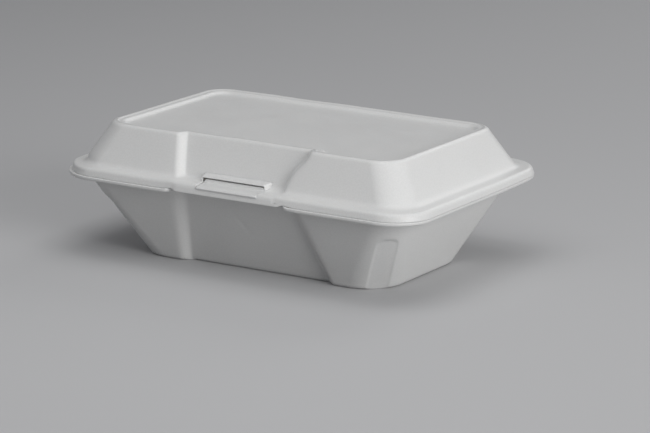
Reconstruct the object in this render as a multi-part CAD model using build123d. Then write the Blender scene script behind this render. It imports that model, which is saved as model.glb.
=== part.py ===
from build123d import *
import os
from collections import namedtuple
from math import atan, cos, radians, sin, tan

# Hinged takeaway container, thermoformed from one sheet of white foamed polystyrene.
# The origin lies on the floor under the middle of the rim. X runs along the container,
# Y from the front (the lock) to the back (the hinge), and Z up. All sizes are in mm.

# Sheet
sheet = 2.3                 # thickness of the foam sheet
seam_gap = 0.1              # air between the closed lid and the base's rim

# Base's rim, the largest outline
length = 236.0
width = 162.5
rim_corner = 24.0
rim_height = 49.5           # top face of the rim above the floor
rim_edge_round = 0.9

# Base's wall: it starts at the mouth, under the rim, and leans in to the foot
mouth_reach_end = 13.0      # from the rim's edge to the mouth, at the two ends
mouth_reach_side = 9.75     # the same at the front and the back
mouth_corner = 16.0
wall_run_end = 22.0         # how far the wall leans in, at the two ends
wall_run_side = 23.25
foot_corner = 23.0
foot_round = 3.0            # outer edge of the foot
floor_round = 1.5           # inner edge of the floor

# Lid's lip and ledge
lip_inset = 1.5             # how far the lip stands inside the rim at the front and ends
lip_height = 4.4
lip_lean = 1.2
lip_round = 2.8
lip_edge_round = 0.3
ledge_reach_end = 9.9       # from the rim's edge to the foot of the lid's wall, at the ends
ledge_reach_side = 9.45
ledge_round = 2.4           # hollow corner between the wall and the ledge

# Lid's wall, ridge and top panel
lid_height = 77.0           # crest of the ridge above the floor
lid_foot_corner = 17.5
lid_run_end = 13.35         # how far the lid's wall leans in, at the two ends
lid_run_side = 11.65
lid_top_corner = 15.5
ridge_width = 6.5
ridge_height = 2.4
ridge_slope = 25.0          # degrees from upright, inner face of the ridge
ridge_round = 0.7
ridge_bend = 3.0            # in plan, where the ridge follows the recess of the front wall
crest_round = 2.0
panel_round = 1.0

# Centre recess of the base's front wall
tray_recess_depth = 4.8
tray_recess_splay = 3.3     # how far each side of the recess runs sideways over its depth
tray_recess_foot = 0.283    # half width at the floor, as a share of the foot's length
tray_recess_mouth = 0.171   # half width at the mouth, as a share of the mouth's length
tray_recess_round = 3.5
tray_recess_crease = 1.0

# Centre recess of the lid's front wall
lid_recess_depth = 5.4
lid_recess_splay = 4.4
lid_recess_foot = 0.16      # half width at the ledge, as a share of the length there
lid_recess_top = 0.216      # half width at the crest, as a share of the length there
lid_recess_round = 4.0
lid_recess_crease = 2.5

# Corner flutes of the base
flute_width = 12.5
flute_depth = 1.3
flute_top = 34.0            # height of the rounded top of the flute
flute_round = 3.0

# Front lock: a tongue of the base stands in a window of the lid, under a hood
lock_share = 0.1525         # half width of the lock zone, as a share of the length
notch_depth = 5.0           # how far the base's rim is cut back in the lock zone
notch_round = 1.0
lock_clearance = 0.6        # sideways, at each end of the lid's hanging lip
bead_drop = 2.0             # how far the lid's lip hangs lower in the lock zone
bead_height = 3.8           # height of the lip that is left below the window
window_half = 20.0
window_round = 0.9
tongue_clearance = 1.0      # sideways, at each end of the tongue
tongue_height = 4.1         # above the rim
tongue_thickness = 2.0
tongue_edge_round = 0.7
hood_height = 3.8           # top of the hood above the ledge
hood_set_back = 8.0         # front of the hood behind the front of the lip
hood_skin = 1.4             # the sheet is drawn thinner over the hood
hood_cheek = 1.8            # how far each side of the hood splays towards the wall
hood_rise = 0.8             # how far the hood's top climbs towards the wall
hood_round = 1.1

# Living hinge along the back of the rim
hinge_margin = 1.0          # the pressed groove ends this far before the rim's corners
hinge_film = 0.5            # thickness of the sheet where it is pressed thin
hinge_slope = 50.0          # degrees, face of the pressed groove
hinge_fold = 0.45           # radius of the folded film

# Lengths that follow
mouth_length = length - 2 * mouth_reach_end
mouth_width = width - 2 * mouth_reach_side
foot_length = mouth_length - 2 * wall_run_end
foot_width = mouth_width - 2 * wall_run_side
lid_foot_length = length - 2 * ledge_reach_end
lid_foot_width = width - 2 * ledge_reach_side
lid_top_length = lid_foot_length - 2 * lid_run_end
lid_top_width = lid_foot_width - 2 * lid_run_side
lock_half = length * lock_share
lip_front = -width / 2 + lip_inset
hinge_length = length - 2 * (rim_corner + hinge_margin)

# Heights that follow
rim_underside = rim_height - sheet
lip_bottom = rim_height + seam_gap
ledge = lip_bottom + lip_height
panel = lid_height - ridge_height
hood_top = ledge + hood_height
window_top = hood_top - hood_skin
bead_bottom = lip_bottom - bead_drop
bead_top = bead_bottom + bead_height
hinge_y = width / 2 - hinge_fold
hinge_z = rim_height + seam_gap / 2

spare = 5.0                 # how far a cutter runs past what it cuts
least_corner = 1.0          # smallest corner of an outline that is moved inwards
level_slack = 0.01          # how far a face's middle may lie off its height

Ring = namedtuple("Ring", "length width corner z")
base_foot = Ring(foot_length, foot_width, foot_corner, 0.0)
base_mouth = Ring(mouth_length, mouth_width, mouth_corner, rim_underside)
lid_foot = Ring(lid_foot_length, lid_foot_width, lid_foot_corner, ledge)
lid_top = Ring(lid_top_length, lid_top_width, lid_top_corner, lid_height)


def ring_at(low, high, z):
    """The outline at height z on the straight line between two outlines."""
    share = (z - low.z) / (high.z - low.z)
    return Ring(*[a + (b - a) * share for a, b in zip(low[:3], high[:3])], z)


def inset_ring(ring, inset):
    corner = max(ring.corner - inset, least_corner)
    return Ring(ring.length - 2 * inset, ring.width - 2 * inset, corner, ring.z)


def ring_face(ring, back_shift=0.0):
    outline = RectangleRounded(ring.length, ring.width, ring.corner)
    return Plane.XY.offset(ring.z) * Pos(0, back_shift, 0) * outline


def tapered_body(low, high, back_shift=0.0):
    return loft([ring_face(low, back_shift), ring_face(high, back_shift)], ruled=True)


def block(x_half, y_low, y_high, z_low, z_high):
    body = Box(2 * x_half, y_high - y_low, z_high - z_low)
    return Pos(0, (y_low + y_high) / 2, (z_low + z_high) / 2) * body


def wall_inset(low, high):
    """Level distance between the two faces of the sheet on a leaning wall."""
    lean = atan(abs(high.width - low.width) / 2 / (high.z - low.z))
    return sheet / cos(lean)


def recess_face(half_width, depth, splay, wall_y, z, grow):
    """Plan of a front recess: a trapezoid that opens past the wall, grown all round by grow."""
    reach = 2 * depth
    inner = half_width - splay / 2
    outer = inner + splay * (depth + reach) / depth
    floor_y = wall_y + depth
    mouth_y = wall_y - reach
    corners = [(-outer, mouth_y), (outer, mouth_y), (inner, floor_y), (-inner, floor_y)]
    plan = make_face(Polyline(*corners, close=True))
    if grow:
        plan = offset(plan, amount=grow, kind=Kind.INTERSECTION)
    return Plane.XY.offset(z) * plan


def recess_body(low, high, widths, depth, splay, bottom, top, grow=0.0):
    """Cutter for a front recess between two heights of a leaning wall."""
    faces = []
    for z in (bottom, top):
        share = (z - low.z) / (high.z - low.z)
        half_width = widths[0] + (widths[1] - widths[0]) * share
        wall_y = -ring_at(low, high, z).width / 2
        faces.append(recess_face(half_width, depth, splay, wall_y, z, grow))
    return loft(faces, ruled=True)


def step_edges(body, middle, outer):
    """Sloping edges of a front recess: the outer pair on the wall or the inner pair on its floor."""
    straight_half = foot_length / 2 - foot_corner
    edges = []
    for edge in body.edges():
        box = edge.bounding_box()
        crosses = box.min.Z < middle < box.max.Z
        inside = -straight_half < box.min.X and box.max.X < straight_half
        if crosses and inside and box.max.Y < 0:
            edges.append(edge)
    edges = sorted(edges, key=lambda e: abs(e.center().X))
    return edges[-2:] if outer else edges[:2]


def level_face(body, z):
    """The largest level face of a body at height z that looks up."""
    level = [f for f in body.faces() if abs(f.center().Z - z) < level_slack]
    level = [f for f in level if f.is_planar and f.normal_at().Z > 0]
    return sorted(level, key=lambda f: f.area)[-1]


def flute_cutters(grow=0.0):
    """One shallow flute down each corner of the base, flat and with a rounded top."""
    low = base_foot
    high = ring_at(base_foot, base_mouth, flute_top)
    diagonal = sin(radians(45))

    def corner_point(ring):
        pull = ring.corner * (1 - diagonal)
        return Vector(ring.length / 2 - pull, ring.width / 2 - pull, ring.z)

    top_point = corner_point(high)
    run = top_point - corner_point(low)
    across = Vector(0, 0, 1).cross(run).normalized()
    plane = Plane(origin=top_point, x_dir=across, z_dir=across.cross(run).normalized())
    reach = 2 * run.length
    outline = RectangleRounded(flute_width + 2 * grow, reach + 2 * grow, flute_round + grow)
    bar = Pos(0, -reach / 2, -flute_depth - grow) * outline
    cutter = plane * extrude(bar, amount=flute_depth + grow + spare)
    ends = [cutter, mirror(cutter, about=Plane.YZ)]
    return ends + [mirror(c, about=Plane.XZ) for c in ends]


def tray_form(inset, floor, edge_round):
    """The closed body inside one face of the base's sheet."""
    low = inset_ring(ring_at(base_foot, base_mouth, floor), inset)
    high = inset_ring(ring_at(base_foot, base_mouth, rim_height + spare), inset)
    body = tapered_body(low, high)
    widths = (tray_recess_foot * foot_length, tray_recess_mouth * mouth_length)
    body -= recess_body(base_foot, base_mouth, widths, tray_recess_depth, tray_recess_splay,
                        floor - spare, rim_height + 2 * spare, inset)
    body = fillet(step_edges(body, rim_height / 2, True), tray_recess_round)
    body = fillet(step_edges(body, rim_height / 2, False), tray_recess_crease)
    body = fillet(body.edges().group_by(Axis.Z)[0], edge_round)
    for cutter in flute_cutters(inset):
        body -= cutter
    return body


def rim_plate():
    """The flat rim around the mouth of the base: a thin rounded edge, cut straight along the hinge."""
    outline = ring_face(Ring(length, width, rim_corner, rim_underside))
    plate = extrude(outline, amount=sheet)
    layers = plate.edges().group_by(Axis.Z)
    plate = fillet(layers[0] + layers[-1], rim_edge_round)
    return plate & block(length, -width, hinge_y, 0, lid_height)


def rim_notch():
    """Cutter for the stretch of the rim that makes room for the lid's hanging lip."""
    front = -width / 2
    cutter = block(lock_half, front - spare, front + notch_depth,
                   rim_underside - spare, rim_height + spare)
    return fillet(cutter.edges().filter_by(Axis.Z).group_by(Axis.Y)[-1], notch_round)


def hinge_wedge(side):
    """Cutter that thins the sheet to a film at the hinge: side is -1 under it and 1 above it."""
    run = 2 * sheet + lip_height
    film = seam_gap / 2 + hinge_film
    rise = run * tan(radians(hinge_slope))
    outer_y = hinge_y + spare
    near_z = hinge_z + side * film
    far_z = hinge_z + side * (film + rise)
    profile = [(outer_y, near_z), (hinge_y, near_z), (hinge_y - run, far_z), (outer_y, far_z)]
    face = Plane.YZ.offset(-hinge_length / 2) * make_face(Polyline(*profile, close=True))
    return extrude(face, amount=hinge_length)


def hinge_strip(side):
    """The film at the hinge line: side is -1 on the base's rim and 1 on the lid's lip."""
    near = hinge_z + side * seam_gap / 2
    far = near + side * hinge_film
    return block(hinge_length / 2, hinge_y - 2 * sheet, hinge_y, min(near, far), max(near, far))


def hinge_rod(radius, stretch=0.0):
    """A thin round rod along the hinge line."""
    axis = Plane(origin=(-hinge_length / 2 - stretch, hinge_y, hinge_z), z_dir=(1, 0, 0))
    return extrude(axis * Circle(radius), amount=hinge_length + 2 * stretch)


def tongue():
    """The lock's tongue: the strip left by the notch, turned up from the rim."""
    half = window_half - tongue_clearance
    y_front = -width / 2 + notch_depth
    body = block(half, y_front, y_front + tongue_thickness, rim_underside, rim_height + tongue_height)
    body = fillet(body.edges().filter_by(Axis.Y).group_by(Axis.Z)[-1], tongue_thickness)
    top_edges = body.faces().sort_by(Axis.Z)[-1].edges().filter_by(Axis.X)
    return fillet(top_edges, tongue_edge_round)


def base_tray():
    outer = tray_form(0.0, 0.0, foot_round)
    outer &= block(length, -width, width, -spare, rim_height)
    rim = rim_plate() - rim_notch() - hinge_wedge(-1) + hinge_strip(-1)
    body = outer + rim
    body -= tray_form(wall_inset(base_foot, base_mouth), sheet, floor_round)
    return body + tongue() + hinge_rod(hinge_fold)


def lid_form(inset, top, crest):
    """The closed body inside one face of the lid's wall, from below the ledge up."""
    low = inset_ring(ring_at(lid_foot, lid_top, ledge - sheet - lip_height), inset)
    high = inset_ring(ring_at(lid_foot, lid_top, top), inset)
    body = tapered_body(low, high)
    widths = (lid_recess_foot * lid_foot_length, lid_recess_top * lid_top_length)
    body -= recess_body(lid_foot, lid_top, widths, lid_recess_depth, lid_recess_splay,
                        low.z - spare, lid_height + spare, inset)
    middle = (ledge + lid_height) / 2
    body = fillet(step_edges(body, middle, True), lid_recess_round)
    body = fillet(step_edges(body, middle, False), lid_recess_crease)
    return fillet(body.edges().group_by(Axis.Z)[-1], crest)


def lip_form(inset, bottom, top):
    """The closed body inside one face of the lid's lip; at the back it reaches the hinge line."""
    shift = (lip_front + hinge_y) / 2
    corner = rim_corner - lip_inset / 2
    low = Ring(length - 2 * lip_inset, hinge_y - lip_front, corner, lip_bottom)
    high = inset_ring(low, lip_lean)._replace(z=ledge)
    return tapered_body(inset_ring(ring_at(low, high, bottom), inset),
                        inset_ring(ring_at(low, high, top), inset), shift)


def panel_pocket():
    """The sunken top panel, which leaves a ridge of even width along the crest."""
    plan = RectangleRounded(lid_top_length, lid_top_width, lid_top_corner)
    plan -= recess_face(lid_recess_top * lid_top_length, lid_recess_depth, lid_recess_splay,
                        -lid_top_width / 2, 0, 0)
    inner = ridge_width + ridge_height * tan(radians(ridge_slope))
    plan = offset(plan, amount=-inner)
    recess_half = lid_recess_top * lid_top_length + ridge_width
    plan = fillet([v for v in plan.vertices() if v.Y < 0 and abs(v.X) < recess_half], ridge_bend)
    pocket = extrude(Plane.XY.offset(panel) * plan, amount=2 * ridge_height, taper=-ridge_slope)
    return fillet(pocket.edges().group_by(Axis.Z)[0], panel_round)


def hood_form(shrink, bottom):
    """The hood over the window: a low visor whose sides splay and whose top climbs to the wall."""
    front_y = lip_front + hood_set_back + shrink
    depth = lid_recess_depth + 2 * sheet
    back_y = front_y + depth
    half = window_half + hood_skin - shrink
    plan = [(-half, front_y), (half, front_y), (half + hood_cheek, back_y), (-half - hood_cheek, back_y)]
    body = extrude(Plane.XY.offset(bottom) * make_face(Polyline(*plan, close=True)), amount=hood_top)
    side = [(front_y - spare, bottom - spare), (back_y + spare, bottom - spare),
            (back_y + spare, hood_top + hood_rise * (depth + spare) / depth - shrink),
            (front_y - spare, hood_top - hood_rise * spare / depth - shrink)]
    keep = extrude(Plane.YZ.offset(-length / 2) * make_face(Polyline(*side, close=True)), amount=length)
    return body & keep


def hood():
    """The hood's outer body with its front corners and top edges rounded."""
    body = hood_form(0.0, lip_bottom + sheet)
    body = fillet(body.edges().filter_by(Axis.Z).group_by(Axis.Y)[0], hood_round)
    return fillet(body.faces().sort_by(Axis.Z)[-1].edges(), hood_round)


def window():
    """The opening that the tongue stands in: above the lip's bead, and down behind it."""
    back_y = lip_front + hood_set_back + lid_recess_depth
    opening = block(window_half, lip_front - spare, back_y, bead_top, window_top)
    opening = fillet(opening.edges().filter_by(Axis.Y), window_round)
    return opening + block(window_half, lip_front + sheet, back_y, bead_bottom - spare, bead_top + sheet)


def lock_bead():
    """The stretch of the lid's lip that hangs into the base's notch."""
    half = lock_half - lock_clearance
    body = block(half, lip_front, lip_front + sheet, bead_bottom, lip_bottom + sheet)
    front_edge = body.edges().filter_by(Axis.X).group_by(Axis.Z)[0].sort_by(Axis.Y)[0]
    return fillet(front_edge, rim_edge_round)


def lid():
    wall = lid_form(0.0, lid_height, crest_round)
    wall &= block(length, -width, width, lip_bottom + sheet, lid_height + spare)
    body = wall + lip_form(0.0, lip_bottom, ledge)
    body = fillet(level_face(body, ledge).inner_wires().edges(), ledge_round)
    body = fillet(level_face(body, ledge).outer_wire().edges(), lip_round)
    body = fillet(body.edges().group_by(Axis.Z)[0], lip_edge_round)
    body -= panel_pocket()
    body = fillet(level_face(body, lid_height).inner_wires().edges(), ridge_round)
    body += hood()
    body -= lid_form(wall_inset(lid_foot, lid_top), panel - sheet, sheet)
    body -= lip_form(sheet, lip_bottom - spare, ledge - sheet)
    body -= hood_form(hood_skin, ledge - sheet)
    body = body + lock_bead() - window()
    body = body - hinge_wedge(1) + hinge_strip(1)
    return body - hinge_rod(hinge_fold + seam_gap, seam_gap)


os.makedirs("parts", exist_ok=True)
for node, shape in (("base_tray", base_tray()), ("lid", lid())):
    print(node, "valid" if shape.is_valid else "not valid", round(shape.volume / 1000, 1), "cm3")
    export_step(shape, f"parts/{node}.step")
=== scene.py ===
# %% [markdown]
# # A foam clamshell container
#
# The real object is one thin sheet of white foamed polystyrene, heated and pressed
# between two moulds: a base, a lid, and a pressed hinge between them. Everything that
# catches the eye on it is a form of that one sheet, with soft bends and no seams.
#
# The sheet's two skins are then worked out with numpy and stand in for the two CAD
# nodes, because pressed foam needs softer bends than plain fillets give.

# %% Load the fixed frame
import bpy
import math
from collections import namedtuple
import numpy as np
from mathutils import Matrix, Vector


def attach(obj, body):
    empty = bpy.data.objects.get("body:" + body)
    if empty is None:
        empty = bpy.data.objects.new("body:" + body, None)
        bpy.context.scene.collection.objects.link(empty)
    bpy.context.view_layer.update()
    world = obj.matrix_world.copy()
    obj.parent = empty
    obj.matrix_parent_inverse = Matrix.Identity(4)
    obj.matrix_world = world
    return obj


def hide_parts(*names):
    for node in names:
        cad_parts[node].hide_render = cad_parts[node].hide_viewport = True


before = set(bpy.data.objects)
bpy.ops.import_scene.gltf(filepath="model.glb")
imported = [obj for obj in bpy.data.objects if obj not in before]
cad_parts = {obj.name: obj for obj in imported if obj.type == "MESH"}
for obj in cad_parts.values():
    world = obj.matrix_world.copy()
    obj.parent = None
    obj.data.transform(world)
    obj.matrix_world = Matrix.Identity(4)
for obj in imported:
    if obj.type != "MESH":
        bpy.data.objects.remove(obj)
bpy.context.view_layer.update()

# %% [markdown]
# ## Camera
#
# A product photograph like this one is taken from a few steps away with a long lens,
# so its edges stay almost parallel. The camera stands 1.93 m from the box, 31 degrees
# to the right of its front and 14 degrees above it, and it is rolled by less than a
# degree. Its axes are worked out from those angles, so the numbers stay readable.

# %% Camera
azimuth = math.radians(30.63)
elevation = math.radians(13.83)
roll = math.radians(0.89)
distance = 1.92708
focal_length = 186.6
sensor_width = 36.0
aim_height = 0.035
aim_right = 0.01463
aim_up = -0.01255

back = Vector((math.sin(azimuth) * math.cos(elevation),
               -math.cos(azimuth) * math.cos(elevation),
               math.sin(elevation)))
level_right = (-back).cross(Vector((0, 0, 1))).normalized()
level_up = level_right.cross(-back)
right = level_right * math.cos(roll) + level_up * math.sin(roll)
up = level_up * math.cos(roll) - level_right * math.sin(roll)
target = Vector((0, 0, aim_height)) + right * aim_right + up * aim_up

camera_data = bpy.data.cameras.new("camera")
camera_data.lens = focal_length
camera_data.sensor_width = sensor_width
camera = bpy.data.objects.new("camera", camera_data)
bpy.context.scene.collection.objects.link(camera)
turn = Matrix((right, up, back)).transposed().to_4x4()
camera.matrix_world = Matrix.Translation(target + back * distance) @ turn
bpy.context.scene.camera = camera
print("camera stands at", tuple(round(c, 3) for c in camera.location))

# %% [markdown]
# ## A row of the sheet
#
# Every level outline of this box is a rounded rectangle with one dent in its front
# side: the recess of the wall, or the notch of the rim. So a row is eleven numbers.
# The outline has half a length, half a width, a middle that may lie a little behind the
# origin, a corner radius and a height. The dent has a depth, half a width, the splay of
# its slanted sides, the softness of their outer and inner bends, and a drop.
#
# The whole box is a short list of rows, from the middle of one face of the sheet, over
# its edge, to the middle of the other face. One could model it by hand with loop cuts,
# but rows keep the two faces of the sheet exactly one thickness apart. Sizes are in
# millimetres here and become metres when the mesh is made.

# %% Rows
Row = namedtuple("Row", "half_length half_width middle corner z depth half splay soft_out soft_in drop")

least_corner = 1.0
middle_inset = 9.0
slow_wave = dict(depth=3.0, splay=14.0, half=44.0, soft_out=2.0, soft_in=2.0)


def between(low, high, z):
    """The row at height z on the straight line between two rows."""
    share = (z - low.z) / (high.z - low.z)
    return Row(*(np.array(low) * (1 - share) + np.array(high) * share))


def inset(row, amount):
    """The row moved inwards by amount; the dent's slanted sides move out to keep their distance."""
    slant = math.hypot(row.depth, row.splay)
    wider = amount * (slant - row.splay) / row.depth if row.depth else 0.0
    return row._replace(half_length=row.half_length - amount, half_width=row.half_width - amount,
                        corner=max(row.corner - amount, least_corner), half=row.half + wider)


def flat_middle(row):
    """A smaller row on the same level, whose dent is only a slow wave, so the middle stays smooth."""
    return inset(row, middle_inset)._replace(**slow_wave)


print("a row holds", ", ".join(Row._fields))

# %% [markdown]
# ## The section's bends
#
# Heated foam never bends sharply, so each corner of the section is replaced by a
# parabola. It is a quadratic Bezier curve: start * (1-t)^2 + corner * 2t(1-t) + end * t^2,
# where start and end lie one cut before and after the corner.

# %% Section with soft corners
def toward(a, b, cut):
    """The row at a distance of cut from row a towards row b, measured in the section of the back wall."""
    a_reach, b_reach = a[1] + a[2], b[1] + b[2]
    length = math.hypot(b_reach - a_reach, b[4] - a[4])
    return a + (b - a) * (cut / length)


def section(stops):
    """Rows along a list of (row, cut, rows in the bend, rows in the run after it), and each stop's place."""
    points = [np.array(stop[0]) for stop in stops]
    rows, marks, run_before = [], [], 0
    for i, (_, cut, bend, run) in enumerate(stops):
        here = points[i]
        if cut:
            t = np.linspace(0, 1, bend)[:, None]
            start, end = toward(here, points[i - 1], cut), toward(here, points[i + 1], cut)
            arc = start * (1 - t) ** 2 + here * 2 * t * (1 - t) + end * t ** 2
        else:
            arc = here[None]
        if run_before:
            t = np.linspace(0, 1, run_before + 2)[1:-1, None]
            rows.append(rows[-1][-1] * (1 - t) + arc[0] * t)
        marks.append(sum(len(r) for r in rows) + len(arc) // 2)
        rows.append(arc)
        run_before = run
    return np.concatenate(rows), marks


# %% [markdown]
# ## From a row to a ring of points
#
# The dent's sides are the difference of two softened ramps, so the outer bend can be
# rounder than the inner one, as on the real mould. The points crowd together on those
# sides and at the corners, and stay apart elsewhere. The front's middle columns also
# have one column exactly at the side of the lock's window.

# %% Columns of a ring
window_half = 20.0
core_half, core_step = 24.0, 0.5
core_x = np.concatenate((np.linspace(0, window_half - 2 * core_step, 14),
                         np.linspace(window_half - core_step, core_half, 10)))
run_columns, dent_columns, plain_columns = 5, 26, 9
corner_points, end_points, back_points = 56, 30, 44
bend_reach = 3.5
front_middle = len(core_x) + run_columns + dent_columns + plain_columns
print("columns from the left corner to the middle of the front", front_middle)


def softened(t, width):
    """A ramp that is 0 before the start and t after it, rounded over about width."""
    return width * np.logaddexp(0, t / width)


def span(a, b, count):
    """Columns from a up to, but not at, b."""
    return a[:, None] + (b - a)[:, None] * np.linspace(0, 1, count, endpoint=False)


def front_side(rows):
    """The front from left to right: x is spread over listed columns, and y and z move in by the dent's two
    ramps.
    """
    length, width, middle, corner, z, depth, half, splay, out, into, drop = rows.T
    edge = half + splay / 2
    dent_start, dent_end = edge + bend_reach * out, edge - splay - bend_reach * into
    core = np.repeat(core_x[None], len(rows), 0)
    side = np.concatenate((core, span(core[:, -1] + core_step, dent_end, run_columns),
                           span(dent_end, dent_start, dent_columns),
                           span(dent_start, length - corner, plain_columns), (length - corner)[:, None]), 1)
    past = edge[:, None] - side
    dent = (softened(past, out[:, None]) - softened(past - splay[:, None], into[:, None])) / splay[:, None]
    y = (middle - width)[:, None] + depth[:, None] * dent
    level = z[:, None] - drop[:, None] * dent
    return np.stack((np.concatenate((-side[:, :0:-1], side), 1), np.concatenate((y[:, :0:-1], y), 1),
                     np.concatenate((level[:, :0:-1], level), 1)), -1)


# %% [markdown]
# The rest of a ring has no dent. It is four quarter circles, three straight sides, and
# the front side that was just laid, all in one turn to the left as seen from above.

# %% Ring of points
def lay_rings(rows):
    """Points (row, column, xyz): the front, then round by the right end, the back and the left end."""
    length, width, middle, corner, z = rows.T[:5]

    def arc(x_sign, y_sign, first):
        """A quarter circle: the corner's centre plus its radius times the cosine and sine."""
        turn = np.radians(first + np.linspace(0, 90, corner_points + 2)[1:-1])
        x = (x_sign * (length - corner))[:, None] + corner[:, None] * np.cos(turn)
        y = (middle + y_sign * (width - corner))[:, None] + corner[:, None] * np.sin(turn)
        return np.stack((x, y, np.repeat(z[:, None], corner_points, 1)), -1)

    def straight(x_from, x_to, y_from, y_to, count):
        """Even steps on a straight line."""
        t = np.linspace(0, 1, count)
        x = x_from[:, None] * (1 - t) + x_to[:, None] * t
        y = y_from[:, None] * (1 - t) + y_to[:, None] * t
        return np.stack((x, y, np.repeat(z[:, None], count, 1)), -1)

    low, high = middle - width + corner, middle + width - corner
    reach, rear = length - corner, middle + width
    return np.concatenate((front_side(rows),
                           arc(1, -1, -90), straight(length, length, low, high, end_points),
                           arc(1, 1, 0), straight(reach, -reach, rear, rear, back_points),
                           arc(-1, 1, 90), straight(-length, -length, high, low, end_points),
                           arc(-1, -1, 180)), 1)


# %% [markdown]
# ## From rings to a closed mesh
#
# The rings are joined by quads, and a fan closes the middle of each face. A window is
# cut by leaving out a rectangle of quads on both faces of the sheet and joining their
# edges, which is what a punch does.

# %% Closed shell
fan_rings = 6
smallest_fan = 0.06


def fans(rings):
    """Smaller and smaller copies of the first and last ring, towards the middle of each face."""
    shrink = np.linspace(smallest_fan, 1, fan_rings, endpoint=False)[:, None, None]
    scale = np.concatenate((shrink, shrink, np.ones_like(shrink)), -1)
    return np.concatenate((rings[:1] * scale, rings, rings[-1:] * scale[::-1]))


def window_sides(index, hole):
    """The four cut edges of a window: quads that join the outer rows a..b to the inner rows c..d."""
    (a, b), (c, d), (left, right_column) = hole
    k = np.arange(b - a)
    j = np.arange(left, right_column)
    return [np.stack((index[a + k, left], index[a + k + 1, left],
                      index[d - k - 1, left], index[d - k, left]), -1),
            np.stack((index[a + k + 1, right_column], index[a + k, right_column],
                      index[d - k, right_column], index[d - k - 1, right_column]), -1),
            np.stack((index[a, j + 1], index[a, j], index[d, j], index[d, j + 1]), -1),
            np.stack((index[b, j], index[b, j + 1], index[c, j + 1], index[c, j]), -1)]


def shell(points, hole=None):
    """Vertices, quads and end triangles of a closed shell; hole is (outer rows, inner rows, columns)."""
    rows, columns = points.shape[:2]
    index = np.arange(rows * columns).reshape(rows, columns)
    after = np.roll(index, -1, 1)
    quads = np.stack((index[:-1], index[1:], after[1:], after[:-1]), -1)
    keep = np.ones(quads.shape[:2], bool)
    sides = []
    if hole:
        (a, b), (c, d), (left, right_column) = hole
        keep[a:b, left:right_column] = False
        keep[c:d, left:right_column] = False
        sides = window_sides(index, hole)
    first, last = rows * columns, rows * columns + 1
    top = np.stack((np.full(columns, first), index[0], after[0]), -1)
    bottom = np.stack((np.full(columns, last), after[-1], index[-1]), -1)
    vertices = np.concatenate((points.reshape(-1, 3), points[0].mean(0)[None], points[-1].mean(0)[None]))
    return vertices, np.concatenate(sides + [quads[keep]]), np.concatenate((top, bottom))


# %% [markdown]
# ## From a mesh to an object
#
# Some parts of a skin only touch or run into each other, like the tongue and its rim,
# so one object holds several closed parts. Blender shades the faces smoothly but keeps
# the few sharp edges, and a small bevel with two steps then takes their sharpness away.

# %% Object from parts
millimetre = 0.001
sharp_from = math.radians(38)
bevel_from = math.radians(50)
bevel_width = 0.00025


def skin_object(name, parts):
    """One object from closed parts in millimetres, without stray points, softly shaded and bevelled."""
    starts = np.cumsum([0] + [len(part[0]) for part in parts[:-1]])
    vertices = np.concatenate([part[0] for part in parts]) * millimetre
    quads = np.concatenate([part[1] + start for part, start in zip(parts, starts)])
    triangles = np.concatenate([part[2] + start for part, start in zip(parts, starts)])
    used, place = np.unique(np.concatenate((quads.ravel(), triangles.ravel())), return_inverse=True)
    quads, triangles = place[:quads.size].reshape(-1, 4), place[quads.size:].reshape(-1, 3)
    mesh = bpy.data.meshes.new(name)
    mesh.from_pydata(vertices[used].tolist(), [], quads.tolist() + triangles.tolist())
    mesh.validate()
    mesh.shade_smooth()
    mesh.set_sharp_from_angle(angle=sharp_from)
    piece = bpy.data.objects.new(name, mesh)
    bpy.context.scene.collection.objects.link(piece)
    edge = piece.modifiers.new("softened edges", "BEVEL")
    edge.width = bevel_width
    edge.segments = 2
    edge.limit_method = "ANGLE"
    edge.angle_limit = bevel_from
    print(name, len(mesh.vertices), "vertices", len(mesh.polygons), "faces")
    return piece


# %% [markdown]
# ## Slow warp
#
# A cooling sheet warps a little. A few long waves, added together, shift both faces of
# the sheet by the same small amount. They fade out at the rim and at the foot, where
# the two halves meet and where the box stands. A displacement texture could do it too,
# but it would move the two faces apart.

# %% Warp
seam_z = 49.55
warp_size = 0.07
warp_waves = [(0.071, 0.043, 0.050, 0.4), (0.038, -0.090, 0.064, 2.1), (-0.110, 0.052, 0.093, 4.0),
              (0.150, 0.120, -0.070, 1.3)]
warp_direction = np.array((0.5, 0.7, 0.6))
calm_at_seam, calm_at_floor = 4, 5


def warp(points):
    """Adds a sum of sine waves in x, y and z, scaled down near the seam and near the floor."""
    x, y, z = np.moveaxis(points, -1, 0)
    wave = sum(np.sin(a * x + b * y + c * z + d) for a, b, c, d in warp_waves)
    calm = (1 - np.exp(-((z - seam_z) / calm_at_seam) ** 2)) * (1 - np.exp(-(z / calm_at_floor) ** 2))
    shift = warp_size * wave * calm
    return points + shift[..., None] * warp_direction


most_warp = warp_size * len(warp_waves) * float(np.linalg.norm(warp_direction))
print("the warp moves the sheet by less than", round(most_warp, 2), "mm")

# %% [markdown]
# ## Soft masks
#
# Everything that is pressed, pushed or bent below is a shift times a mask. A mask is a
# number between 0 and 1 for each point, and it has to change slowly, because a sudden
# change would tear the sheet. Two formulas are enough for all of them.

# %% Soft masks
def smooth_step(t):
    """3t^2 - 2t^3 between 0 and 1."""
    t = np.clip(t, 0, 1)
    return t * t * (3 - 2 * t)


def fall(t):
    """1 well below zero and 0 well above it: 1 / (1 + e^t)."""
    return 1 / (1 + np.exp(np.clip(t, -30, 30)))


print("halfway the masks are at", smooth_step(0.5), "and", fall(0.0))

# %% [markdown]
# ## Settling
#
# The photographed box isn't quite true, and it should look so. Its flange hangs a little
# at the front and the ends, where no hinge holds it. Its front left corner was pushed
# in, and the lid sits almost a millimetre to the right. The flange's shift is the same
# function of place for both halves, so the seam stays closed.

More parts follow.
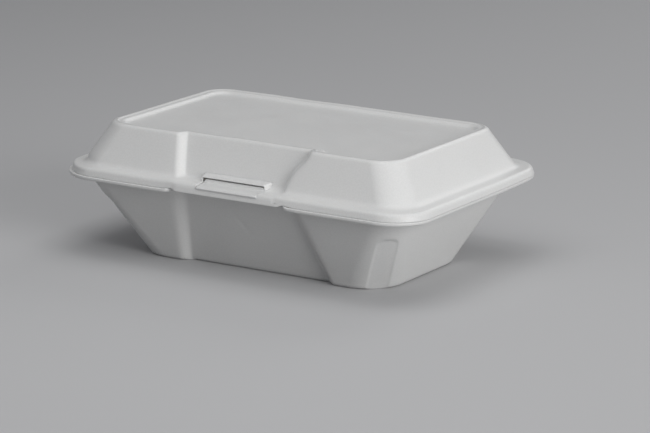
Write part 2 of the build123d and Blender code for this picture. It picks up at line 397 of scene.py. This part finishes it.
# %% Settling of the flange
sag, sag_from, sag_run = 0.7, 16.0, 9.5
mouth_reach = np.array((89.0, 55.5))
held_from, held_run = 75, 55
lock_half, lock_soft, lock_front = 39, 0.8, -50
flange_reach, slip_reach = 7, 5.5
push, push_x, push_y, push_reach = 2.6, -116, -76, 26
push_right, push_back = 0.86, 0.51
slip = 0.9


def settle(points, lid_slip=0.0):
    """Lowers the flange by a ramp outwards from the mouth, pushes its front left corner in, slips the lid."""
    x, y, z = np.moveaxis(points, -1, 0)
    outward = np.hypot(np.maximum(np.abs(x) - mouth_reach[0], 0), np.maximum(np.abs(y) - mouth_reach[1], 0))
    free = smooth_step((held_from - y) / held_run)
    lock = 1 - (y < lock_front) * fall((np.abs(x) - lock_half) / lock_soft)
    near_seam = np.exp(-((z - seam_z) / flange_reach) ** 4)
    drop = sag * smooth_step((outward - sag_from) / sag_run) * free * lock * near_seam
    dent = push * np.exp(-((x - push_x) ** 2 + (y - push_y) ** 2) / push_reach ** 2) * near_seam
    slide = lid_slip * np.exp(-((z - seam_z) / slip_reach) ** 2)
    return np.stack((x + push_right * dent + slide, y + push_back * dent, z - drop), -1)


print("the flange hangs", sag, "mm, its corner is pushed in", push, "mm, and the lid slips", slip, "mm")

# %% [markdown]
# ## Lean
#
# The tray leans a little to the right and to the front, as a thin box does when it is
# put down. A shear does that: each level moves in proportion to its depth below the rim.

# %% Lean of the tray
lean_right, lean_front = 2.4, 1.5
true_end, true_from, true_run = 0.8, 45, 35


def lean_over(points):
    """Shears the tray towards its front right, most at the foot; its right end wall stays almost true."""
    x, y, z = np.moveaxis(points, -1, 0)
    share = np.clip(1 - z / seam_z, 0, 1)
    held = 1 - true_end * smooth_step((x - true_from) / true_run)
    return np.stack((x + lean_right * share * held, y - lean_front * share, z), -1)


print("the foot stands", lean_right, "mm to the right and", lean_front, "mm to the front")

# %% [markdown]
# ## Base
#
# The section runs from the middle of the floor up the inner wall, over the flat rim,
# down the outer wall and under the foot. The dent is the recess of the front wall, and
# at the rim it becomes the notch that makes room for the lock. Towards the rim its
# sides get softer, so the steps fade there as they do in the photograph.

# %% Base section
sheet = 2.3
rim_top, rim_under = 49.5, 47.2
hinge_line = 80.8
rim_front = 81.2
rim_half = (rim_front + hinge_line) / 2

foot = Row(half_length=83.0, half_width=48.25, middle=0, corner=23.0, z=0.0,
           depth=4.8, half=47.6, splay=2.4, soft_out=1.0, soft_in=0.4, drop=0)
mouth = Row(half_length=105.0, half_width=71.5, middle=0, corner=16.0, z=rim_under,
            depth=4.2, half=36.6, splay=4.4, soft_out=1.7, soft_in=0.9, drop=0)
rim_low = Row(half_length=117.95, half_width=rim_half, middle=hinge_line - rim_half, corner=24.0, z=rim_under,
              depth=5.0, half=36.4, splay=2.4, soft_out=0.9, soft_in=0.5, drop=0)
rim_high = rim_low._replace(z=rim_top)

wall_gap = sheet / math.cos(math.atan((mouth.half_width - foot.half_width) / rim_under))
floor_edge = inset(between(foot, mouth, sheet), wall_gap)
mouth_inside = inset(between(foot, mouth, rim_top), wall_gap)

base_rows = section([
    (flat_middle(floor_edge), 0, 0, 2), (floor_edge, 2.4, 7, 16), (mouth_inside, 1.3, 6, 2),
    (rim_high, 0.35, 5, 0), (rim_low, 1.6, 8, 2), (mouth, 2.0, 6, 54),
    (foot, 2.3, 8, 2), (flat_middle(foot), 0, 0, 0)])[0]
base_points = fans(lay_rings(base_rows))
print("base grid", base_points.shape, "wall measured level", round(wall_gap, 2), "mm")

# %% [markdown]
# ## Corner flutes
#
# Each corner of the base has a flute: a flat pressed a little into the round corner,
# with a rounded top. It stiffens the corner. It is cut by pushing the points behind a
# plane that leans with the corner, inside a soft-edged strip.

# %% Corner flutes
flute_half, flute_depth, flute_top, flute_bend = 6.25, 1.35, 34.0, 4.5
flute_soft = 0.22
skin_margin = 1.0


def press_flutes(points):
    """Pushes the corners of the wall back to a flat plane inside a strip with a round top."""
    x, y, z = np.moveaxis(points, -1, 0)
    share = np.clip(z / rim_under, 0, 1)
    corner = foot.corner + (mouth.corner - foot.corner) * share
    reach_x = foot.half_length + (mouth.half_length - foot.half_length) * share - corner
    reach_y = foot.half_width + (mouth.half_width - foot.half_width) * share - corner
    out_x, out_y = np.abs(x) - reach_x, np.abs(y) - reach_y
    along, across = (out_x + out_y) / math.sqrt(2), (out_x - out_y) / math.sqrt(2)
    over_top = np.maximum(z - (flute_top - flute_bend), 0)
    inner = np.maximum(np.abs(across) - (flute_half - flute_bend), 0)
    edge = np.where(over_top > 0, np.hypot(inner, over_top) - flute_bend, np.abs(across) - flute_half)
    strip = fall(edge / flute_soft)
    radius = np.hypot(np.maximum(out_x, 0), np.maximum(out_y, 0))
    outer_face = radius > corner - wall_gap - skin_margin
    plane = np.where(outer_face, corner, corner - wall_gap) - flute_depth
    behind = np.maximum(along - plane, 0) * strip * (out_x > 0) * (out_y > 0)
    shift = behind / math.sqrt(2)
    return np.stack((x - np.sign(x) * shift, y - np.sign(y) * shift, z), -1)


print("flutes are", 2 * flute_half, "mm wide and", flute_top, "mm high")

# %% [markdown]
# ## Soft crease
#
# The photograph shows one faint soft crease slanting down the middle of the base's
# front wall. It is a shallow groove: the distance of a point from the crease's line
# goes through a bell curve, and that pushes the wall back by a fraction of a millimetre.

# %% Soft crease
crease_top, crease_low = np.array((-7.2, 38.0)), np.array((2.2, 22.0))
crease_deep, crease_wide = 0.35, 1.3
crease_middle, crease_fade = 0.5, 0.42


def press_crease(points):
    """Moves front wall points back by a bell curve of their distance from the crease's line."""
    x, y, z = np.moveaxis(points, -1, 0)
    run = crease_low - crease_top
    size = np.hypot(*run)
    along = ((x - crease_top[0]) * run[0] + (z - crease_top[1]) * run[1]) / size ** 2
    off = ((x - crease_top[0]) * run[1] - (z - crease_top[1]) * run[0]) / size
    fade = np.exp(-((along - crease_middle) / crease_fade) ** 4) * (y < 0)
    return points + np.stack((0 * x, crease_deep * fade * np.exp(-(off / crease_wide) ** 2), 0 * x), -1)


print("crease is about", round(float(np.hypot(*(crease_low - crease_top))), 1), "mm long")

# %% [markdown]
# ## Hinge groove
#
# At the back, the sheet is pressed to a thin film so that it folds. Seen in section it
# is a wedge cut from above on the lid and from below on the base, down to half a
# millimetre. The points beyond the wedge's slope are moved onto it.

# %% Hinge groove
groove_half, groove_end_soft = 93.0, 0.35
film = 0.55
groove_slope = math.tan(math.radians(50))
back_from = 60


def press_hinge(points, side):
    """Moves points beyond the groove's slope onto it: side is 1 above the hinge and -1 below it."""
    x, y, z = np.moveaxis(points, -1, 0)
    limit = film + (hinge_line - y) * groove_slope
    beyond = np.maximum(side * (z - seam_z) - limit, 0)
    ends = fall((np.abs(x) - groove_half) / groove_end_soft)
    return np.stack((x, y, z - side * beyond * ends * (y > back_from)), -1)


base_shape = press_hinge(press_crease(press_flutes(warp(base_points))), -1)
base_shape = settle(lean_over(base_shape))
base_skin = shell(base_shape)
print("base reaches from", base_shape.min((0, 1)).round(2), "to", base_shape.max((0, 1)).round(2), "mm")

# %% [markdown]
# ## Tongue
#
# The lock's tongue is the strip of rim left standing in the notch. It rises behind the
# lid's lip, its nose bulges out of the window and rests on the lip's cut edge, and its
# tip turns up under the hood. It is a flat profile carried along that bent path,
# with a tip that gets narrower and thinner as an ellipse does.

# %% Tongue
tongue_half, tongue_thick, tongue_place = 19.8, 1.3, 0.9
tongue_path = np.array([(-74.8, 47.6), (-75.0, 49.5), (-76.0, 50.8), (-80.6, 51.7), (-79.2, 52.6),
                        (-74.5, 52.9), (-71.2, 53.3), (-70.2, 55.5)])
path_rows, path_passes = 40, 4
tip_long, edge_round = 1.4, 0.6
profile_points = 64
side_squareness, face_squareness = 0.12, 0.5


def quarter_ellipse(left, length, least):
    """Grows from least to 1 over that length as the square root of 1 - (1 - left / length)^2."""
    return np.sqrt(np.clip(1 - (np.clip(length - left, 0, length) / length) ** 2, least, 1))


def power(value, exponent):
    """The value's size to a power, with its sign kept, which makes a circle squarer."""
    return np.sign(value) * np.abs(value) ** exponent


def sweep_tongue():
    """A squarish ellipse carried along the smoothed path in the YZ plane, closed at both ends."""
    stops = np.arange(len(tongue_path))
    spot = np.linspace(0, 1, path_rows) * (len(tongue_path) - 1)
    mid = np.stack([np.interp(spot, stops, tongue_path[:, k]) for k in (0, 1)], -1)
    for _ in range(path_passes):
        mid[1:-1] = (mid[:-2] + 2 * mid[1:-1] + mid[2:]) / 4
    slope = np.gradient(mid, axis=0)
    slope /= np.linalg.norm(slope, axis=1)[:, None]
    normal = np.stack((-slope[:, 1], slope[:, 0]), -1)
    steps = np.linalg.norm(np.diff(mid, axis=0), axis=1)
    left_to_tip = np.concatenate((np.cumsum(steps[::-1])[::-1], [0]))
    turn = np.linspace(0, 2 * np.pi, profile_points, endpoint=False)
    reach = tongue_half - tip_long * (1 - quarter_ellipse(left_to_tip, tip_long, 0.0004))
    x = tongue_place + power(np.cos(turn), side_squareness)[None] * reach[:, None]
    half_thick = tongue_thick / 2 * quarter_ellipse(left_to_tip, edge_round, 0.01)
    lift = power(np.sin(turn), face_squareness)[None] * half_thick[:, None]
    y = mid[:, :1] + normal[:, :1] * lift
    z = mid[:, 1:] + normal[:, 1:] * lift
    print("tongue is", round(float(steps.sum()), 1), "mm long along its bends")
    return shell(np.stack((x, y, z), -1))


tongue = sweep_tongue()

# %% [markdown]
# ## Folded film
#
# Where the thin film folds, it puckers into a small round bead along the hinge. A thin
# rod whose radius swells and shrinks a little is enough for that. The film could also
# be bent as a strip, but nothing of its inner side can be seen.

# %% Folded film
fold_radius, pucker = 0.45, 0.06
pucker_wave, pucker_beat = 0.9, 0.23
fold_rows, fold_points = 150, 16


def fold_rod():
    """Circles along the hinge line, whose radius is scaled by the product of two sine waves in x."""
    x = np.linspace(-groove_half, groove_half, fold_rows)
    radius = fold_radius * (1 - pucker + pucker * np.sin(x * pucker_wave) * np.sin(x * pucker_beat))
    turn = np.linspace(0, 2 * np.pi, fold_points, endpoint=False)
    return shell(np.stack((np.repeat(x[:, None], fold_points, 1), hinge_line + radius[:, None] * np.cos(turn),
                           seam_z + radius[:, None] * np.sin(turn)), -1)[:, ::-1])


base = skin_object("base_skin", [base_skin, tongue, fold_rod()])
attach(base, "base")
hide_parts("base_tray")

# %% [markdown]
# ## The lid's rows
#
# The lid is the same kind of section as the base, only with more bends: the sunken
# panel, the ridge with a small bead on it, the wall, the ledge and the lip. In the lock
# zone the lip hangs 1.3 mm lower, over the notch of the rim. The rows of the inner face
# are the outer ones, moved in by the thickness of the sheet. The crest lies a little
# below its full height, so that the warp can't lift it out of the CAD model's box.

# %% Lid rows
lip_low, ledge, crest, panel = 49.6, 54.0, 77.0, 74.6
crest_play = 0.15
window_low, window_high = 51.4, 57.5
inside_step = 0.9
ridge_wide, panel_run, shoulder_run = 6.5, 1.4, 0.9
step_run, bead_run = 3.3, 2.1
shoulder_drop, step_drop = 0.65, 0.7
lip_front, lip_flare = 80.3, 1.2
lip_half = (hinge_line + lip_front) / 2

lid_foot = Row(half_length=108.1, half_width=71.8, middle=0, corner=17.5, z=ledge,
               depth=5.0, half=35.6, splay=2.0, soft_out=0.8, soft_in=0.35, drop=0)
lid_top = Row(half_length=94.75, half_width=60.15, middle=0, corner=15.5, z=crest - crest_play,
              depth=5.0, half=41.6, splay=2.0, soft_out=0.8, soft_in=0.35, drop=0)
lip_edge = Row(half_length=117.0, half_width=lip_half, middle=hinge_line - lip_half, corner=23.25, z=lip_low,
               depth=-0.7, half=34.6, splay=2.2, soft_out=0.5, soft_in=0.5, drop=1.3)
lip_top = inset(lip_edge, lip_flare)._replace(z=ledge, depth=0.0, drop=0.0)
above_window = between(lid_foot, lid_top, window_high)
below_window = between(lip_edge, lip_top, window_low)._replace(drop=0.0)

panel_edge = inset(lid_top, ridge_wide + panel_run)._replace(z=panel)
ridge_edge = inset(lid_top, ridge_wide - shoulder_run)._replace(z=crest - shoulder_drop)
ridge_step = inset(lid_top, step_run)._replace(z=crest - step_drop)
ridge_bead = inset(lid_top, bead_run)

lid_gap = sheet / math.cos(math.atan((lid_foot.half_width - lid_top.half_width) / (crest - ledge)))
lip_inside = inset(lip_edge, sheet)
ledge_under = inset(lip_top, sheet)._replace(z=ledge - sheet)
below_inside = between(lip_inside, ledge_under, window_low - inside_step)._replace(drop=0.0)
wall_under = inset(between(lid_foot, lid_top, ledge - sheet), lid_gap)
ceiling = inset(between(lid_foot, lid_top, panel - sheet), lid_gap)
print("lid wall measured level", round(lid_gap, 2), "mm")

# %% [markdown]
# ## The lid's section and window
#
# The section starts in the middle of the sunken panel, climbs the ridge, goes down the
# wall, across the ledge and round the lip, and comes back inside. The window of the lock
# is a rectangle from low on the wall, over the ledge and down into the lip, barely wider
# than the tongue, and it is cut through both faces.

# %% Lid section
lid_rows, lid_marks = section([
    (flat_middle(panel_edge), 0, 0, 3), (panel_edge, 1.4, 6, 1), (ridge_edge, 0.9, 6, 2),
    (ridge_step, 0.45, 4, 0), (ridge_bead, 0.6, 4, 0), (lid_top, 2.0, 11, 26),
    (above_window, 0, 0, 2), (lid_foot, 2.6, 9, 3), (lip_top, 1.9, 9, 2), (below_window, 0, 0, 3),
    (lip_edge, 0.5, 5, 2), (lip_inside, 0.4, 5, 2),
    (below_inside, 0, 0, 2), (ledge_under, 0.6, 9, 3), (wall_under, 1.6, 9, 2),
    (inset(above_window, lid_gap), 0, 0, 10), (ceiling, 2.4, 7, 2), (flat_middle(ceiling), 0, 0, 0)])
lid_points = fans(lay_rings(lid_rows))

above_stop, below_stop, below_inside_stop, above_inside_stop = 6, 9, 12, 15
outer_rows = (fan_rings + lid_marks[above_stop], fan_rings + lid_marks[below_stop])
inner_rows = (fan_rings + lid_marks[below_inside_stop], fan_rings + lid_marks[above_inside_stop])
window_column = int(np.argmin(np.abs(core_x - window_half)))
window_columns = (front_middle - window_column, front_middle + window_column)
print("lid grid", lid_points.shape, "window rows", outer_rows, inner_rows, "columns", window_columns)

# %% [markdown]
# ## Drag of the right step
#
# In the photograph, the right step of the lid's recess bends to the left on its way
# down, because the sheet was dragged as it was pressed. A bell curve in x moves the
# points near the step, and a soft share lets them stay in place near the crest.

# %% Drag of the right step
drag, drag_place, drag_wide = 5.0, 38.0, 9.5
drag_from, drag_run, drag_above = 62, 13, 50


def drag_step(points):
    """Moves the recess's right step to the left by a bell curve in x, less near the crest."""
    x, y, z = np.moveaxis(points, -1, 0)
    share = 1 - smooth_step((z - drag_from) / drag_run)
    bell = np.exp(-((x - drag_place) / drag_wide) ** 2) * (y < 0) * (z > drag_above)
    return np.stack((x - drag * share * bell, y, z), -1)


lid_shape = settle(press_hinge(drag_step(warp(lid_points)), 1), slip)
lid_skin = shell(lid_shape, (outer_rows, inner_rows, window_columns))
print("lid reaches from", lid_shape.min((0, 1)).round(2), "to", lid_shape.max((0, 1)).round(2), "mm")

# %% [markdown]
# ## Hood
#
# Over the window the sheet is drawn out into a low visor that keeps the window open
# when containers are stacked. It is an arch, an upside-down U seen from the front,
# carried from its front edge back into the wall. The sides splay and the top climbs.

# %% Arch of the hood
hood_front, hood_back = -71.4, -62.9
hood_top, hood_foot, hood_skin = 57.0, 51.9, 1.0
hood_round, hood_round_inside = 1.3, 0.7
hood_splay, hood_rise = 1.5, 0.9
arch_corner, arch_side, arch_across = 10, 8, 24


def arch(half, top, corner):
    """An upside-down U in x and z: up the left side, over a rounded corner, across, and down the right."""
    turn = np.linspace(np.pi, np.pi / 2, arch_corner)
    side_z = np.linspace(hood_foot, top - corner, arch_side, endpoint=False)
    corner_x, corner_z = -half + corner + corner * np.cos(turn), top - corner + corner * np.sin(turn)
    across = np.linspace(-half + corner, half - corner, arch_across)[1:-1]
    left_side, right_side = np.full(arch_side, -half), np.full(arch_side, half)
    x = np.concatenate((left_side, corner_x, across, -corner_x[::-1], right_side))
    z = np.concatenate((side_z, corner_z, np.full(len(across), top), corner_z[::-1], side_z[::-1]))
    return np.stack((x, z), -1)


# %% [markdown]
# The front edge of the hood is rounded: the thickness starts from almost nothing and
# grows as a quarter ellipse. The arch's outer and inner lines make one closed loop, so
# the hood is a tube of quads, and two strips of quads close its front and its back.

# %% Hood
front_rows, back_rows = 7, 10
first_turn, back_start, back_end = 0.12, 1.6, 12


def hood_points():
    """The arch carried in y; sides and top grow in proportion to the share of the way back."""
    outer = arch(window_half + hood_skin, hood_top, hood_round)
    inner = arch(window_half, hood_top - hood_skin, hood_round_inside)
    middle, reach = (outer + inner) / 2, (outer - inner) / 2
    start = np.concatenate((1 - np.cos(np.linspace(first_turn, np.pi / 2, front_rows)),
                            np.linspace(back_start, back_end, back_rows)))
    share = start / start[-1]
    grow = quarter_ellipse(start, 1, 0)[:, None, None]
    loop = np.concatenate((middle + reach * grow, (middle - reach * grow)[:, ::-1]), 1)
    y = hood_front + (hood_back - hood_front) * share
    x = loop[..., 0] * (1 + share[:, None] * hood_splay / window_half)
    z = loop[..., 1] + hood_rise * share[:, None] * (loop[..., 1] > ledge)
    return np.stack((x, np.repeat(y[:, None], loop.shape[1], 1), z), -1)


def hood_part():
    """Vertices and quads of the hood: the tube, its front strip and its back strip."""
    points = hood_points()
    rows, columns = points.shape[:2]
    count = columns // 2
    index = np.arange(rows * columns).reshape(rows, columns)
    after = np.roll(index, -1, 1)
    tube = np.stack((after[:-1], after[1:], index[1:], index[:-1]), -1).reshape(-1, 4)
    front, front_back_way = index[0], index[0, ::-1]
    rear, rear_back_way = index[-1], index[-1, ::-1]
    front_strip = np.stack((front[1:count], front[:count - 1],
                            front_back_way[:count - 1], front_back_way[1:count]), -1)
    back_strip = np.stack((rear[:count - 1], rear[1:count],
                           rear_back_way[1:count], rear_back_way[:count - 1]), -1)
    no_triangles = np.zeros((0, 3), int)
    return points.reshape(-1, 3), np.concatenate((tube, front_strip, back_strip)), no_triangles


lid = skin_object("lid_skin", [lid_skin, hood_part()])
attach(lid, "cover")
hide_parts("lid")

# %% [markdown]
# ## Foam skin
#
# Pressed foam has a closed skin over tiny cells. Up close the cells show as a fine
# pebbled grain, and light goes a little way into it, so edges never turn black. One
# procedural material holds a cell pattern, a finer grain and slow patches of
# smoother skin, all in object coordinates, so the grain has one size on every wall.

# %% Foam material
foam = bpy.data.materials.new("foam_skin")
foam.use_nodes = True
nodes, links = foam.node_tree.nodes, foam.node_tree.links
skin = nodes["Principled BSDF"]
skin.inputs["IOR"].default_value = 1.45
skin.inputs["Subsurface Weight"].default_value = 0.25
skin.inputs["Subsurface Radius"].default_value = (1.0, 0.95, 0.9)
skin.inputs["Subsurface Scale"].default_value = 0.0025

object_place = nodes.new("ShaderNodeTexCoord").outputs["Object"]


def texture(kind, scale, **sockets):
    """A texture node on object coordinates; scale is how often its pattern repeats in a metre."""
    node = nodes.new(kind)
    node.inputs["Scale"].default_value = scale
    for name, value in sockets.items():
        node.inputs[name].default_value = value
    links.new(object_place, node.inputs["Vector"])
    return node


cells_per_metre = 1100
cells = texture("ShaderNodeTexVoronoi", cells_per_metre).outputs["Distance"]
grain = texture("ShaderNodeTexNoise", 2400, Detail=2.0).outputs["Fac"]
patches = texture("ShaderNodeTexNoise", 55, Detail=3.0).outputs["Fac"]
print("one foam cell is about", round(1000 / cells_per_metre, 1), "mm wide")

# %% [markdown]
# The patches change how glossy the skin is, because foam cools unevenly on the mould.
# The cells change its colour a little: the middle of a cell is lighter than the seams
# between the cells.

# %% Gloss and colour
smoothest, roughest = 0.33, 0.42
cell_middle = (0.815, 0.815, 0.805, 1)
cell_seam = (0.775, 0.775, 0.765, 1)


def ramp(source, low, high, low_value, high_value):
    """Maps a texture's range low..high to low_value..high_value."""
    node = nodes.new("ShaderNodeMapRange")
    ends = {"From Min": low, "From Max": high, "To Min": low_value, "To Max": high_value}
    for name, value in ends.items():
        node.inputs[name].default_value = value
    links.new(source, node.inputs["Value"])
    return node.outputs["Result"]


links.new(ramp(patches, 0.3, 0.7, smoothest, roughest), skin.inputs["Roughness"])
tint = nodes.new("ShaderNodeMix")
tint.data_type = "RGBA"
tint.inputs["A"].default_value = cell_seam
tint.inputs["B"].default_value = cell_middle
links.new(ramp(cells, 0.0, 0.7, 1.0, 0.0), tint.inputs["Factor"])
links.new(tint.outputs["Result"], skin.inputs["Base Color"])

# %% [markdown]
# The grain is far too fine for geometry, so it is bump: slow patches, then cells, then
# grain, each laid over the one before. Both skins and both CAD nodes get this material.

# %% Relief
def bump(height, distance, strength, below=None):
    """A bump of that height in metres, laid over another one."""
    node = nodes.new("ShaderNodeBump")
    node.inputs["Distance"].default_value = distance
    node.inputs["Strength"].default_value = strength
    links.new(height, node.inputs["Height"])
    if below:
        links.new(below, node.inputs["Normal"])
    return node.outputs["Normal"]


relief = bump(patches, 0.0003, 0.25)
relief = bump(cells, 0.00004, 0.35, relief)
relief = bump(grain, 0.00002, 0.25, relief)
links.new(relief, skin.inputs["Normal"])

for piece in (base, lid, *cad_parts.values()):
    piece.data.materials.clear()
    piece.data.materials.append(foam)
print("foam material has", len(nodes), "shader nodes")

# %% [markdown]
# ## Studio
#
# A floor that curves up behind the object has no horizon line, so it is one long
# profile carried sideways. Camera rays and mirrored rays see it pale. The soft light
# that it throws back to the foam is darker, as in a studio whose walls are far away,
# and that keeps the shade under the rim as deep as it really looks.

# %% Studio sweep
floor_half_width = 4.0
floor_front = -4.0
bend_start = 1.6
bend_radius = 1.2
bend_rows = 25
wall_top = 3.5


def sweep_mesh():
    """A profile carried sideways: level, then a quarter circle, then upright."""
    turn = np.linspace(0, np.pi / 2, bend_rows)
    y = np.concatenate(([floor_front], bend_start + bend_radius * np.sin(turn), [bend_start + bend_radius]))
    z = np.concatenate(([0.0], bend_radius * (1 - np.cos(turn)), [wall_top]))
    x = np.array([-floor_half_width, floor_half_width])
    grid = np.stack([np.repeat(x[None], len(y), 0), np.repeat(y[:, None], 2, 1),
                     np.repeat(z[:, None], 2, 1)], axis=-1).reshape(-1, 3)
    step = np.arange(len(y) - 1)[:, None] * 2
    mesh = bpy.data.meshes.new("sweep")
    mesh.from_pydata(grid.tolist(), [], (step + np.array([0, 1, 3, 2])).tolist())
    return mesh


sweep = bpy.data.objects.new("sweep", sweep_mesh())
bpy.context.scene.collection.objects.link(sweep)
sweep.data.shade_smooth()
print("sweep has", len(sweep.data.polygons), "faces")

# %% [markdown]
# The sweep's material is two plain diffuse colours. A Light Path node picks the pale one
# for camera, glossy and transmission rays, and the darker one for all others.

# %% Sweep material
sweep_material = bpy.data.materials.new("studio_sweep")
sweep_material.use_nodes = True
nodes, links = sweep_material.node_tree.nodes, sweep_material.node_tree.links
nodes.clear()
out = nodes.new("ShaderNodeOutputMaterial")
mix = nodes.new("ShaderNodeMixShader")
path = nodes.new("ShaderNodeLightPath")
seen = nodes.new("ShaderNodeBsdfDiffuse")
felt = nodes.new("ShaderNodeBsdfDiffuse")
seen.inputs["Color"].default_value = (0.60, 0.60, 0.605, 1)
felt.inputs["Color"].default_value = (0.34, 0.34, 0.345, 1)
seen_rays = path.outputs["Is Camera Ray"]
for kind in ("Is Glossy Ray", "Is Transmission Ray"):
    either = nodes.new("ShaderNodeMath")
    either.operation = "MAXIMUM"
    links.new(seen_rays, either.inputs[0])
    links.new(path.outputs[kind], either.inputs[1])
    seen_rays = either.outputs["Value"]
links.new(seen_rays, mix.inputs["Fac"])
links.new(felt.outputs["BSDF"], mix.inputs[1])
links.new(seen.outputs["BSDF"], mix.inputs[2])
links.new(mix.outputs["Shader"], out.inputs["Surface"])
sweep.data.materials.append(sweep_material)

# %% [markdown]
# ## Light
#
# The photograph is lit by one soft box on the right, a little in front of the object and
# not much higher, and by weak light from all round. That gives the bright right end,
# the bright corner, and the dark front wall under the rim. Two weak fills from above
# keep the lid's panel as light as its walls, and one behind shows the hidden sides.

# %% Lamps
lamp_aim = Vector((0, 0, 0.04))


def soft_box(name, place, size, watts):
    """A square area lamp at place, turned so that it shines at the box."""
    data = bpy.data.lights.new(name, "AREA")
    data.shape = "SQUARE"
    data.size = size
    data.energy = watts
    lamp = bpy.data.objects.new(name, data)
    bpy.context.scene.collection.objects.link(lamp)
    lamp.location = place
    lamp.rotation_mode = "QUATERNION"
    lamp.rotation_quaternion = (lamp_aim - Vector(place)).to_track_quat("-Z", "Y")
    print(name, "stands", round((lamp_aim - Vector(place)).length, 2), "m away and has", watts, "watts")


soft_box("key", place=(1.64, -0.60, 0.49), size=1.0, watts=17.0)
soft_box("back fill", place=(0.15, 1.2, 0.80), size=0.7, watts=2.2)
soft_box("front fill", place=(0.0, -0.30, 0.67), size=0.5, watts=0.85)
soft_box("top fill", place=(0.17, 0.0, 1.23), size=0.8, watts=2.0)

# %% [markdown]
# The world gives the weak light from all round. Its colour is very slightly blue, like
# the air of a white room, and the view transform is the plain one.

# %% World and view
world = bpy.data.worlds.new("studio_air")
bpy.context.scene.world = world
world.use_nodes = True
air = world.node_tree.nodes["Background"]
air.inputs["Color"].default_value = (0.96, 0.97, 1.0, 1)
air.inputs["Strength"].default_value = 0.27
bpy.context.scene.view_settings.view_transform = "Standard"
